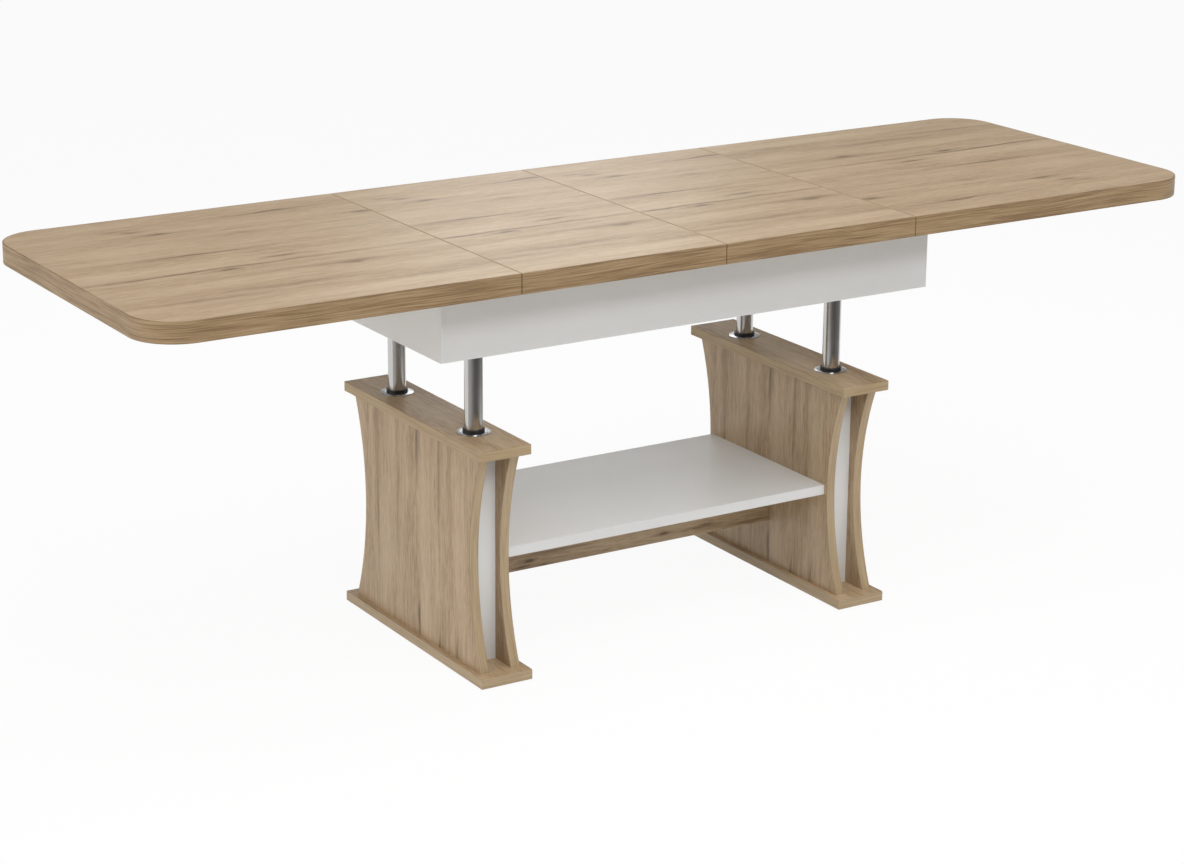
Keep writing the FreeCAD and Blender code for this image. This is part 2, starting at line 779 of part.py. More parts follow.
def build():
    """All nodes by name, each a list of solids."""
    nodes = {}
    for name, side in SIDES.items():
        nodes[name + "_foot_plate"] = [foot_plate(side)]
        nodes[name + "_leg_outer_board"] = [side_board(side, side * side_board_offset)]
        nodes[name + "_leg_inner_board"] = [side_board(side, -side * side_board_offset)]
        nodes[name + "_cap_plate"] = [cap_plate(side)]
        nodes[name + "_lift_yoke"] = [lift_yoke(side)]
        nodes[name + "_gas_spring_cylinder"] = [gas_spring_cylinder(side)]
        nodes[name + "_gas_spring_rod"] = [gas_spring_rod(side)]
        nodes["apron_" + name + "_board"] = [apron_end_board(side)]
        nodes[name + "_slide_middle_members"] = [slide_middle(side, end) for end in ENDS.values()]
        nodes[name + "_slide_inner_members"] = [slide_inner(side, end) for end in ENDS.values()]
        nodes[name + "_leaf_hangers"] = [leaf_hanger(side, end) for end in ENDS.values()]
        nodes[name + "_hanger_screws"] = place_all(screw, hanger_screw_places(side), hanger_screw)
        leaf_board, leaf_band = leaf(side)
        nodes[name + "_leaf_board"] = [leaf_board]
        nodes[name + "_leaf_edge_band"] = [leaf_band]
        insert_board, insert_band = insert(side)
        nodes[name + "_insert_board"] = [insert_board]
        nodes[name + "_insert_edge_band"] = [insert_band]
        nodes[name + "_insert_pegs"] = [rod(dowel_diameter / 2, place, Z_AXIS, peg_length)
                                        for place in insert_peg_places(side)]
        for end_name, end in ENDS.items():
            nodes[name + "_leg_" + end_name + "_panel"] = [pedestal_panel(side, end)]
            nodes[name + "_" + end_name + "_column"] = [column(side * leg_centre, end * column_y)]
    for end_name, end in ENDS.items():
        nodes["apron_" + end_name + "_board"] = [apron_long_board(end)]
    nodes["apron_floor"] = [apron_floor()]
    nodes["shelf"] = [shelf()]
    nodes["stretcher_rail"] = [stretcher_rail()]
    nodes["collar_bushes"] = [collar_bush(x, y) for x, y in column_centres()]
    nodes["collar_rings"] = [collar_ring(x, y) for x, y in column_centres()]
    nodes["column_flanges"] = [column_flange(x, y) for x, y in column_centres()]
    nodes["guide_blocks"] = [guide_block(side, end) for side, end in corners()]
    nodes["slide_outer_members"] = [slide_outer(side, end) for side, end in corners()]
    nodes["gas_spring_brackets"] = [gas_spring_bracket(side) for side in SIDES.values()]
    nodes["yoke_nuts"] = [yoke_nut(side) for side in SIDES.values()]
    nodes["foot_glides"] = glides()
    nodes["foot_screws"] = place_all(screw, foot_screw_places(), confirmat)
    nodes["guide_screws"] = place_all(screw, guide_screw_places(), guide_screw)
    nodes["flange_screws"] = place_all(screw, flange_screw_places(), flange_screw)
    nodes["pedestal_dowels"] = place_all(dowel, cap_dowel_places() + shelf_dowel_places())
    nodes["apron_dowels"] = place_all(dowel, apron_dowel_places())
    return nodes


def export(nodes):
    os.makedirs("parts", exist_ok=True)
    for name, pieces in nodes.items():
        solids = [solid for piece in pieces for solid in piece.Solids]
        shape = solids[0] if len(solids) == 1 else Part.makeCompound(solids)
        shape.exportStep("parts/" + name + ".step")


export(build())
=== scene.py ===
import json
import math
from collections import namedtuple

import bmesh
import bpy
from mathutils import Matrix, Vector


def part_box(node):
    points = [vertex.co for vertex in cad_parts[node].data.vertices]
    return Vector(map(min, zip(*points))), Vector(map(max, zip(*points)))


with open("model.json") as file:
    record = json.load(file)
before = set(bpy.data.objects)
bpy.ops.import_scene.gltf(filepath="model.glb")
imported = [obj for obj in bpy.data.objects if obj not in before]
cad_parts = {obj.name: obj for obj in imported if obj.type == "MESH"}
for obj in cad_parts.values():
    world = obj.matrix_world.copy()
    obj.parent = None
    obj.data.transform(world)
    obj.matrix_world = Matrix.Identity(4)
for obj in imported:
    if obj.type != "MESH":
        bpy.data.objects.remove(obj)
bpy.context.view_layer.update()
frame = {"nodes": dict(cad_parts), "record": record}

# Extending lift-up coffee table: oak-look top and pedestals, white apron and shelf, steel columns.
# Metres, in the frame of the CAD model.

SIDES = ("left", "right")
X, Y, Z = 0, 1, 2

# Camera of the photograph, solved from its edges and corners.
# The picture is cut a little off its optical middle, so the lens is shifted.
CAMERA_PLACE = Vector((-2.6984, -4.2339, 1.8988))
CAMERA_FORWARD = Vector((0.49234, 0.82666, -0.27246))
CAMERA_ROLL = math.radians(0.120)
CAMERA_LENS = 87.98
CAMERA_SHIFT = (0.0500, -0.0676)
SENSOR_WIDTH = 36.0

# Tones of the oak print and its edge bands, linear colour; a ramp has a place and a colour for each stop
OAK_TONES = [(0.22, (0.312, 0.205, 0.112)), (0.42, (0.425, 0.298, 0.174)),
             (0.58, (0.484, 0.351, 0.215)), (0.80, (0.560, 0.425, 0.272))]
OAK_VEIN = (0.215, 0.135, 0.072)
OAK_CRACK = (0.110, 0.064, 0.027)
SEAM_TONE = (0.460, 0.330, 0.198)
BAND_TONES = [(0.22, (0.216, 0.130, 0.060)), (0.50, (0.315, 0.204, 0.101)), (0.80, (0.410, 0.280, 0.152))]
BOARD_EDGE_TONES = [(0.22, (0.372, 0.268, 0.155)), (0.50, (0.444, 0.328, 0.194)),
                    (0.80, (0.509, 0.384, 0.235))]

# Marks of the oak print: place along and across the grain, half length, half width, darkness,
# and how far the grain parts round them
Mark = namedtuple("Mark", "along across length width dark part")
TOP_MARKS = [
    Mark(0.186, 0.255, 0.020, 0.0050, 0.60, 0.3),
    Mark(0.214, 0.236, 0.018, 0.0050, 0.55, 0.0),
    Mark(0.250, 0.205, 0.022, 0.0056, 0.95, 0.6),
    Mark(0.300, 0.203, 0.055, 0.0030, 0.35, 0.0),
    Mark(0.480, 0.266, 0.115, 0.0040, 0.55, 0.3),
    Mark(0.500, 0.266, 0.022, 0.0058, 0.55, 0.5),
    Mark(0.268, 0.036, 0.068, 0.0028, 1.20, 0.0),
    Mark(0.205, -0.064, 0.190, 0.0025, 1.10, 0.0),
    Mark(0.253, -0.080, 0.018, 0.0046, 0.95, 0.9),
    Mark(0.457, -0.132, 0.015, 0.0050, 0.85, 0.9),
    Mark(0.440, -0.126, 0.085, 0.0030, 0.40, 0.0),
    Mark(0.370, -0.032, 0.026, 0.0042, 0.85, 0.6),
    Mark(0.320, -0.212, 0.110, 0.0070, 0.40, 0.0),
    Mark(0.150, -0.238, 0.120, 0.0060, 0.40, 0.0),
    Mark(0.635, 0.187, 0.018, 0.0046, 1.00, 0.8),
    Mark(0.560, -0.262, 0.090, 0.0042, 0.45, 0.0),
    Mark(0.585, 0.088, 0.100, 0.0048, 0.40, 0.3),
]
LEG_MARKS = [
    Mark(0.372, -0.005, 0.032, 0.0022, 1.20, 0.0),
    Mark(0.052, -0.010, 0.036, 0.0032, 1.30, 0.0),
    Mark(0.330, -0.081, 0.080, 0.0016, 0.80, 0.0),
    Mark(0.026, -0.078, 0.018, 0.0032, 1.20, 0.0),
    Mark(0.034, -0.143, 0.014, 0.0030, 1.00, 0.0),
    Mark(0.250, 0.062, 0.140, 0.0045, 0.34, 0.0),
    Mark(0.200, -0.052, 0.130, 0.0035, 0.28, 0.0),
    Mark(0.215, 0.140, 0.110, 0.0034, 0.55, 0.0),
]
RAIL_MARKS = [
    Mark(0.198, 0.117, 0.009, 0.0028, 1.60, 0.9),
    Mark(0.165, 0.114, 0.030, 0.0020, 0.80, 0.0),
    Mark(0.101, 0.117, 0.009, 0.0024, 1.50, 0.6),
    Mark(0.280, 0.107, 0.055, 0.0028, 0.70, 0.0),
    Mark(-0.189, 0.113, 0.009, 0.0028, 1.60, 0.9),
    Mark(-0.203, 0.105, 0.016, 0.0022, 1.10, 0.0),
    Mark(-0.158, 0.099, 0.009, 0.0022, 1.10, 0.0),
    Mark(-0.120, 0.124, 0.080, 0.0028, 0.55, 0.0),
    Mark(0.020, 0.140, 0.140, 0.0040, 0.40, 0.0),
]
NO_MARKS = []

# How the print shows, softer and with wider ripples on the top than on the other boards:
# contrast of its tones, width of its ripples, and the most that a mark covers it
Style = namedtuple("Style", "contrast ripple crack")
TOP_STYLE = Style(2.3, 0.015, 0.78)
BOARD_STYLE = Style(3.1, 0.006, 0.95)

# Noises of the print: cells in a metre along and across the grain, seed, octaves and how rough they are
Layer = namedtuple("Layer", "along across seed detail roughness")
SWAY = Layer(1.6, 5.0, 0.0, 1.0, 0.5)
RIPPLE = Layer(11.0, 34.0, 3.7, 1.0, 0.5)
BANDS = Layer(1.1, 13.0, 0.0, 2.0, 0.6)
STREAKS = Layer(3.6, 52.0, 7.1, 2.0, 0.6)
LINES = Layer(12.0, 220.0, 2.9, 2.0, 0.6)
FIBRES = Layer(45.0, 560.0, 5.3, 2.0, 0.6)
VEINS = Layer(2.6, 44.0, 4.4, 3.0, 0.6)
BREAKS = Layer(34.0, 420.0, 9.4, 2.0, 0.5)
PORES = Layer(70.0, 2100.0, 1.3, 2.0, 0.5)

# How far the grain sways, how narrow and dark the shade round a mark is, and how deep the relief goes
SWAY_WIDTH = 0.034
HALO_TIGHTNESS = 0.10
HALO_DARKNESS = 0.16
PRINT_DEPTH = 0.00012

# Where veins, breaks in the cracks and pores begin and end in their noise, and how strongly two of them show
VEIN_RANGE = (0.58, 0.76)
VEIN_STRENGTH = 0.22
BREAK_RANGE = (0.30, 0.62)
PORE_RANGE = (0.62, 0.74)
PORE_STRENGTH = 0.22

# How much of a crack is lost where it breaks
BREAK_DEPTH = 0.5

# Roughness of print and band where they are darkest, and how much smoother their lightest tones are
PRINT_ROUGHNESS, PRINT_SMOOTHING = 0.50, 0.14
BAND_ROUGHNESS, BAND_SMOOTHING = 0.56, 0.16

# Edge bands: cells in a metre along the band, across its lines and across its fibres; sway and contrast
BAND_LENGTH_SCALE = 10.0
BAND_LINE_SCALE = 330.0
BAND_FIBRE_SCALE = 1000.0
BAND_SWAY_SCALE = 5.0
BAND_SWAY_WIDTH = 0.012
BAND_CONTRAST = 3.0

# Edges of the boards: how much a surface faces as the board does where the print ends and the band begins,
# and on both sides of the worn corner between them
EDGE_FACING = (0.80, 0.60)
CORNER_FACE_SIDE = (0.95, 0.80)
CORNER_EDGE_SIDE = (0.40, 0.60)
CORNER_WEAR = 0.25

# Band of the top: distance inside its edges where the dark rim begins and is full, distance from a seam where
# the pale strip and the dark line begin and are full, how far a face looks up to count as the top, and how
# far along the table to lie inside a seam
RIM_START, RIM_FULL = 0.0024, 0.0004
SEAM_STRIP = (0.005, 0.004)
SEAM_LINE = (0.0022, 0.0008)
UPWARD_FACING = (0.3, 0.9)
SEAM_FACING = (0.9, 0.6)
SEAM_STRIP_STRENGTH = 0.8
SEAM_FADE_ON_TOP = 0.7
RIM_STRENGTH = 0.4
BAND_WEAR = 0.45

# The caps lie in the shade of the apron and shine less than the other boards
BOARD_SHINE = 0.5
CAP_SHINE = 0.25

# Which stretch of the print a panel or board shows. The inserts start a little further into it than
# the leaves, and the right pedestal's plain boards lie a metre further into it than the left one's.
INSERT_PRINT_START = 0.130
TURNED_LEG_ALONG, TURNED_LEG_ACROSS = 0.9, 0.31
CAP_ALONG, CAP_ACROSS = 1.7, 0.6
FOOT_ALONG, FOOT_ACROSS = 4.3, 1.1

NOISE_MIDDLE = 0.5


def opaque(colour):
    return (*colour, 1.0)


def even(value):
    """The same value three times, for a scale or a grey."""
    return (value, value, value)


class Graph:
    """Short calls that build the nodes of one material."""

    def __init__(self, name):
        self.material = bpy.data.materials.new(name)
        self.material.use_nodes = True
        self.tree = self.material.node_tree
        self.shader = self.tree.nodes["Principled BSDF"]
        self.coordinates = self.tree.nodes.new("ShaderNodeTexCoord")

    def put(self, socket, value):
        """Links a socket to another, or sets its value."""
        if isinstance(value, bpy.types.NodeSocket):
            self.tree.links.new(value, socket)
        else:
            socket.default_value = value

    def add(self, kind, inputs=(), **settings):
        """New node, its inputs given by name or in order."""
        node = self.tree.nodes.new(kind)
        for name, value in settings.items():
            setattr(node, name, value)
        pairs = inputs.items() if isinstance(inputs, dict) else enumerate(inputs)
        for name, value in pairs:
            self.put(node.inputs[name], value)
        return node

    def surface(self, **inputs):
        """Sets inputs of the shader, named with underscores for spaces."""
        for name, value in inputs.items():
            self.put(self.shader.inputs[name.replace("_", " ")], value)

    def math(self, operation, *values):
        return self.add("ShaderNodeMath", values, operation=operation).outputs[0]

    def total(self, *pairs):
        """Sum of values, each times its share."""
        (first, first_share), *others = pairs
        result = self.math("MULTIPLY", first, first_share)
        for value, share in others:
            result = self.math("MULTIPLY_ADD", value, share, result)
        return result

    def swing(self, noise, amount, base):
        """A base moved by the swing of a noise about its middle."""
        return self.math("MULTIPLY_ADD", self.math("SUBTRACT", noise, NOISE_MIDDLE), amount, base)

    def ease(self, value, low, high):
        """Smooth step from 0 at the first limit to 1 at the second, which may be the lower one."""
        inputs = {"Value": value, "From Min": low, "From Max": high}
        return self.add("ShaderNodeMapRange", inputs, interpolation_type="SMOOTHSTEP").outputs[0]

    def vector(self, operation, first, second):
        node = self.add("ShaderNodeVectorMath", (first, second), operation=operation)
        return node.outputs["Value" if operation == "DOT_PRODUCT" else "Vector"]

    def combine(self, x, y, z):
        return self.add("ShaderNodeCombineXYZ", (x, y, z)).outputs[0]

    def split(self, vector):
        return self.add("ShaderNodeSeparateXYZ", (vector,)).outputs

    def position(self):
        return self.coordinates.outputs["Object"]

    def normal(self):
        return self.coordinates.outputs["Normal"]

    def stretched(self, scale):
        """Object position scaled apart on each axis."""
        return self.vector("MULTIPLY", self.position(), scale)

    def noise(self, vector, detail=2.0, roughness=0.5):
        inputs = {"Vector": vector, "Scale": 1.0, "Detail": detail, "Roughness": roughness}
        return self.add("ShaderNodeTexNoise", inputs).outputs[0]

    def ramp(self, value, stops):
        node = self.add("ShaderNodeValToRGB", (value,))
        elements = node.color_ramp.elements
        while len(elements) < len(stops):
            elements.new(0.5)
        for element, (place, colour) in zip(elements, stops):
            element.position = place
            element.color = opaque(colour)
        return node.outputs[0]

    def mix(self, factor, first, second):
        node = self.add("ShaderNodeMix", data_type="RGBA")
        for socket, value in zip((node.inputs[0], node.inputs[6], node.inputs[7]), (factor, first, second)):
            self.put(socket, value)
        return node.outputs[2]

    def tint(self, colour, amount, strength, tone):
        """A colour partly covered by a plain tone."""
        return self.mix(self.math("MULTIPLY", amount, strength), colour, opaque(tone))

    def bump(self, height, distance):
        return self.add("ShaderNodeBump", {"Distance": distance, "Height": height}).outputs[0]


# Oak print

def grain(graph, along, across, layer):
    """One noise of the print, stretched along the grain."""
    scaled_along = graph.math("MULTIPLY", along, layer.along)
    scaled_across = graph.math("MULTIPLY", across, layer.across)
    point = graph.combine(scaled_along, scaled_across, layer.seed)
    return graph.noise(point, layer.detail, layer.roughness)


def mark_distance(graph, along, across, mark):
    """Distance from a mark, counted in its half sizes and squared, and how far across its middle line is."""
    off_along = graph.math("SUBTRACT", along, mark.along)
    off_across = graph.math("SUBTRACT", across, mark.across)
    scaled = graph.combine(graph.math("MULTIPLY", off_along, 1 / mark.length),
                           graph.math("MULTIPLY", off_across, 1 / mark.width), 0.0)
    return graph.vector("DOT_PRODUCT", scaled, scaled), off_across


def gaussian(graph, squared_distance, tightness=1.0):
    return graph.math("EXPONENT", graph.math("MULTIPLY", squared_distance, -tightness))


def oak_print(graph, along, across, marks, style):
    """Colour, roughness and height of the oak print, from the coordinates along and across the grain."""
    swayed = graph.swing(grain(graph, along, across, SWAY), SWAY_WIDTH, across)
    swayed = graph.swing(grain(graph, along, across, RIPPLE), style.ripple, swayed)

    shade = 0.0
    halo = 0.0
    parted = swayed
    for mark in marks:
        distance, off_across = mark_distance(graph, along, swayed, mark)
        near = gaussian(graph, distance, HALO_TIGHTNESS)
        shade = graph.math("MULTIPLY_ADD", gaussian(graph, distance), mark.dark, shade)
        halo = graph.math("MULTIPLY_ADD", near, mark.dark, halo)
        if mark.part:
            pull = graph.math("MULTIPLY", near, off_across)
            parted = graph.math("MULTIPLY_ADD", pull, -mark.part, parted)

    bands = grain(graph, along, parted, BANDS)
    streaks = grain(graph, along, parted, STREAKS)
    lines = grain(graph, along, parted, LINES)
    fibres = grain(graph, along, parted, FIBRES)
    tone = graph.total((bands, 0.34), (streaks, 0.13), (lines, 0.24), (fibres, 0.30))
    contrast = graph.swing(tone, style.contrast, NOISE_MIDDLE)
    contrast = graph.math("MULTIPLY_ADD", halo, -HALO_DARKNESS, contrast)
    colour = graph.ramp(contrast, OAK_TONES)
    veins = graph.ease(grain(graph, along, parted, VEINS), *VEIN_RANGE)
    colour = graph.tint(colour, veins, VEIN_STRENGTH, OAK_VEIN)

    whole = graph.ease(grain(graph, along, parted, BREAKS), *BREAK_RANGE)
    kept = graph.math("MULTIPLY_ADD", whole, BREAK_DEPTH, 1 - BREAK_DEPTH)
    crack = graph.math("MULTIPLY", graph.math("MINIMUM", shade, style.crack), kept)
    pores = graph.ease(grain(graph, along, parted, PORES), *PORE_RANGE)
    colour = graph.tint(colour, pores, PORE_STRENGTH, OAK_CRACK)
    colour = graph.mix(crack, colour, opaque(OAK_CRACK))

    roughness = graph.math("MULTIPLY_ADD", tone, -PRINT_SMOOTHING, PRINT_ROUGHNESS)
    height = graph.total((fibres, 0.3), (lines, 0.5), (pores, -0.6), (crack, -0.8))
    return colour, roughness, height


def band_print(graph, across_axis, tones):
    """Colour and height of an edge band, whose fine lines follow the board's length."""
    sway = graph.noise(graph.stretched(even(BAND_SWAY_SCALE)), detail=1.0)
    lift = [0.0, 0.0, 0.0]
    lift[across_axis] = BAND_SWAY_WIDTH
    swayed = graph.vector("MULTIPLY", graph.combine(sway, sway, sway), lift)
    point = graph.vector("ADD", graph.position(), swayed)

    def layer(across_scale):
        scale = list(even(BAND_LENGTH_SCALE))
        scale[across_axis] = across_scale
        return graph.noise(graph.vector("MULTIPLY", point, scale), detail=3.0, roughness=0.6)

    lines = layer(BAND_LINE_SCALE)
    fibres = layer(BAND_FIBRE_SCALE)
    tone = graph.total((lines, 0.5), (fibres, 0.5))
    return graph.ramp(graph.swing(tone, BAND_CONTRAST, NOISE_MIDDLE), tones), tone


def finish_oak(graph, colour, roughness, height):
    graph.surface(Base_Color=colour, Roughness=roughness, Normal=graph.bump(height, PRINT_DEPTH))
    return graph.material


def oak_panel(name, start, direction):
    """Top panel: grain along X. The print begins at an X and runs one way; if it runs back, it is
    turned half round."""
    graph = Graph(name)
    place = graph.split(graph.position())
    along = graph.math("MULTIPLY", graph.math("SUBTRACT", place[X], start), direction)
    across = graph.math("MULTIPLY", place[Y], direction)
    return finish_oak(graph, *oak_print(graph, along, across, TOP_MARKS, TOP_STYLE))


def oak_board(name, along_axis, across_axis, face_axis, shift, marks, shine=BOARD_SHINE):
    """Board with the oak print on its faces and edge band round its edges."""
    graph = Graph(name)
    place = graph.split(graph.position())
    along = graph.math("ADD", place[along_axis], shift[0])
    across = graph.math("ADD", place[across_axis], shift[1])
    colour, roughness, height = oak_print(graph, along, across, marks, BOARD_STYLE)
    band_colour, band_height = band_print(graph, face_axis, BOARD_EDGE_TONES)
    facing = graph.math("ABSOLUTE", graph.split(graph.normal())[face_axis])
    edge = graph.ease(facing, *EDGE_FACING)
    corner = graph.math("MULTIPLY", graph.ease(facing, *CORNER_FACE_SIDE),
                        graph.ease(facing, *CORNER_EDGE_SIDE))
    colour = graph.mix(edge, colour, band_colour)
    colour = graph.tint(colour, corner, CORNER_WEAR, OAK_CRACK)
    height = graph.math("MULTIPLY_ADD", edge, graph.math("SUBTRACT", band_height, height), height)
    graph.surface(Specular_IOR_Level=shine)
    return finish_oak(graph, colour, roughness, height)


def edge_band():
    """Band round the top panels, with fine lines along it and darker rims and seams."""
    graph = Graph("oak_edge_band")
    colour, tone = band_print(graph, Z, BAND_TONES)
    place = graph.split(graph.position())
    facing = graph.split(graph.normal())
    low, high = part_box("left_insert_edge_band")
    middle, half = (low.z + high.z) / 2, (high.z - low.z) / 2

    outwards = graph.math("ABSOLUTE", place[X])
    off_seam = graph.math("ABSOLUTE", graph.math("SUBTRACT", outwards, -low.x))
    off_seam = graph.math("MINIMUM", off_seam, outwards)
    upwards = graph.ease(facing[Z], *UPWARD_FACING)
    beside_seam = graph.math("MULTIPLY", graph.ease(off_seam, *SEAM_STRIP), upwards)
    colour = graph.tint(colour, beside_seam, SEAM_STRIP_STRENGTH, SEAM_TONE)

    outside = graph.ease(graph.math("ABSOLUTE", facing[X]), *SEAM_FACING)
    depth = graph.math("MULTIPLY_ADD", upwards, -SEAM_FADE_ON_TOP, outside)
    seam = graph.math("MULTIPLY", graph.ease(off_seam, *SEAM_LINE), depth)
    off_middle = graph.math("ABSOLUTE", graph.math("SUBTRACT", place[Z], middle))
    rim = graph.ease(off_middle, half - RIM_START, half - RIM_FULL)
    rim_strength = graph.math("MULTIPLY_ADD", beside_seam, -RIM_STRENGTH, RIM_STRENGTH)
    rim = graph.math("MULTIPLY", rim, rim_strength)
    colour = graph.tint(colour, graph.math("MAXIMUM", rim, seam), BAND_WEAR, OAK_CRACK)
    roughness = graph.math("MULTIPLY_ADD", tone, -BAND_SMOOTHING, BAND_ROUGHNESS)
    return finish_oak(graph, colour, roughness, tone)


# Other finishes

def white_laminate():
    """Satin white laminate with a slight orange peel."""
    cloud_scale = 3.0
    peel_scale = 700.0
    peel_depth = 0.00006
    smoothest, roughness_range = 0.36, 0.12
    graph = Graph("white_laminate")
    cloud = graph.noise(graph.stretched(even(cloud_scale)), detail=3.0)
    peel = graph.noise(graph.stretched(even(peel_scale)), detail=2.0)
    colour = graph.ramp(cloud, [(0.3, (0.742, 0.739, 0.723)), (0.7, (0.776, 0.773, 0.759))])
    roughness = graph.math("MULTIPLY_ADD", peel, roughness_range, smoothest)
    graph.surface(Base_Color=colour, Roughness=roughness, Normal=graph.bump(peel, peel_depth))
    return graph.material


def metal(name, dark, light, scale, roughness, grain_depth):
    """Metal whose polishing lines come from a stretched noise, with smudges in its gloss."""
    smudge_scale = 14.0
    line_share, smudge_share = 0.6, 0.4
    graph = Graph(name)
    lines = graph.noise(graph.stretched(scale), detail=3.0, roughness=0.6)
    smudge = graph.noise(graph.stretched(even(smudge_scale)), detail=2.0)
    colour = graph.ramp(lines, [(0.25, dark), (0.75, light)])
    low, high = roughness
    rough = graph.math("MULTIPLY_ADD", lines, (high - low) * line_share, low)
    rough = graph.math("MULTIPLY_ADD", smudge, (high - low) * smudge_share, rough)
    graph.surface(Base_Color=colour, Metallic=1.0, Roughness=rough, Normal=graph.bump(lines, grain_depth))
    return graph.material


def moulded(name, dark, light, roughness, texture_scale, depth):
    """Plastic, paint or felt with a fine all-over texture."""
    roughness_range = 0.2
    graph = Graph(name)
    texture = graph.noise(graph.stretched(even(texture_scale)), detail=3.0, roughness=0.6)
    colour = graph.ramp(texture, [(0.3, dark), (0.7, light)])
    rough = graph.math("MULTIPLY_ADD", texture, roughness_range, roughness - roughness_range / 2)
    graph.surface(Base_Color=colour, Roughness=rough, Normal=graph.bump(texture, depth))
    return graph.material


def beech():
    """Plain sanded beech: pale, with short darker flecks."""
    grain_scale = (12.0, 320.0, 320.0)
    fleck_scale = (160.0, 900.0, 900.0)
    fleck_range = (0.62, 0.72)
    fleck_strength = 0.35
    grain_depth = 0.0001
    graph = Graph("beech")
    lines = graph.noise(graph.stretched(grain_scale), detail=3.0)
    flecks = graph.ease(graph.noise(graph.stretched(fleck_scale)), *fleck_range)
    colour = graph.ramp(lines, [(0.3, (0.50, 0.33, 0.19)), (0.7, (0.64, 0.46, 0.29))])
    colour = graph.tint(colour, flecks, fleck_strength, (0.30, 0.17, 0.08))
    graph.surface(Base_Color=colour, Roughness=0.62, Normal=graph.bump(lines, grain_depth))
    return graph.material


# Dressing the CAD nodes

def dress(node, material):
    slots = frame["nodes"][node].data.materials
    slots.clear()
    slots.append(material)


def dress_top():
    band = edge_band()
    for side, direction in zip(SIDES, (1, -1)):
        low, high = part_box(side + "_leaf_edge_band")
        outer_end = low.x if side == "left" else high.x
        dress(side + "_leaf_board", oak_panel("oak_" + side + "_leaf", outer_end, direction))
        dress(side + "_leaf_edge_band", band)
        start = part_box(side + "_insert_edge_band")[0].x - INSERT_PRINT_START
        dress(side + "_insert_board", oak_panel("oak_" + side + "_insert", start, 1))
        dress(side + "_insert_edge_band", band)


def dress_pedestals():
    """The left board of each pedestal, whose face the photo shows, carries the marks. The right one, the cap
    and the foot show other stretches of the print."""
    for index, side in enumerate(SIDES):
        left_board = oak_board("oak_" + side + "_leg", Z, Y, X, (0.0, 0.0), LEG_MARKS)
        turned_shift = (TURNED_LEG_ALONG, TURNED_LEG_ACROSS + index)
        right_board = oak_board("oak_" + side + "_leg_turned", Z, Y, X, turned_shift, NO_MARKS)
        outer, inner = (left_board, right_board) if side == "left" else (right_board, left_board)
        dress(side + "_leg_outer_board", outer)
        dress(side + "_leg_inner_board", inner)
        cap_shift = (CAP_ALONG + index, CAP_ACROSS)
        cap = oak_board("oak_" + side + "_cap", Y, X, Z, cap_shift, NO_MARKS, CAP_SHINE)
        dress(side + "_cap_plate", cap)
        foot_shift = (FOOT_ALONG + index, FOOT_ACROSS)
        dress(side + "_foot_plate", oak_board("oak_" + side + "_foot", Y, X, Z, foot_shift, NO_MARKS))
    dress("stretcher_rail", oak_board("oak_rail", X, Z, Y, (0.0, 0.0), RAIL_MARKS))


def dress_by_slot():
    """Nodes with no print of their own take the finish of their record slot."""
    finishes = {
        "white_laminate": white_laminate(),
        "satin_steel": metal("satin_steel", dark=(0.53, 0.52, 0.505), light=(0.60, 0.59, 0.575),
                             scale=(900.0, 900.0, 7.0), roughness=(0.16, 0.24), grain_depth=0.000003),
        "bright_chrome": metal("bright_chrome", dark=(0.48, 0.48, 0.485), light=(0.56, 0.56, 0.56),
                               scale=even(60.0), roughness=(0.20, 0.30), grain_depth=0.000002),
        "zinc_steel": metal("zinc_steel", dark=(0.46, 0.47, 0.47), light=(0.62, 0.62, 0.61),
                            scale=(40.0, 240.0, 240.0), roughness=(0.30, 0.46), grain_depth=0.00001),
        "black_plastic": moulded("black_plastic", dark=(0.006, 0.006, 0.006), light=(0.014, 0.014, 0.014),
                                 roughness=0.45, texture_scale=900.0, depth=0.00004),
        "black_steel": moulded("black_steel", dark=(0.016, 0.016, 0.017), light=(0.030, 0.030, 0.031),
                               roughness=0.36, texture_scale=500.0, depth=0.00003),
        "felt": moulded("felt", dark=(0.045, 0.043, 0.041), light=(0.11, 0.105, 0.10),
                        roughness=0.95, texture_scale=1600.0, depth=0.0003),
        "beech": beech(),
    }
    for part in frame["record"]["subparts"]:
        if part["material_slot"] in finishes:
            dress(part["node"], finishes[part["material_slot"]])


# Stage: floor, lights and camera

WHITE = opaque(even(1.0))
FLOOR_RADIUS = 60.0
FLOOR_SEGMENTS = 96
WALL_HEIGHT = 9.0
FLOOR_COLOUR = opaque(even(0.93))
FLOOR_WHITENESS = 0.93
WORLD_STRENGTH = 0.36

# Card for the dark stripe: where it starts and stops in degrees, and its greys, whose places run from
# 0 at -180 degrees to 1 at 0 degrees
FLAG_RADIUS = 1.25
FLAG_HEIGHT = 0.55
FLAG_START, FLAG_STOP = -179, -12
FLAG_STEPS = 56
FLAG_GREYS = [(0.03, 0.80), (0.13, 0.66), (0.23, 0.34), (0.35, 0.14),
              (0.56, 0.12), (0.72, 0.20), (0.90, 0.40)]

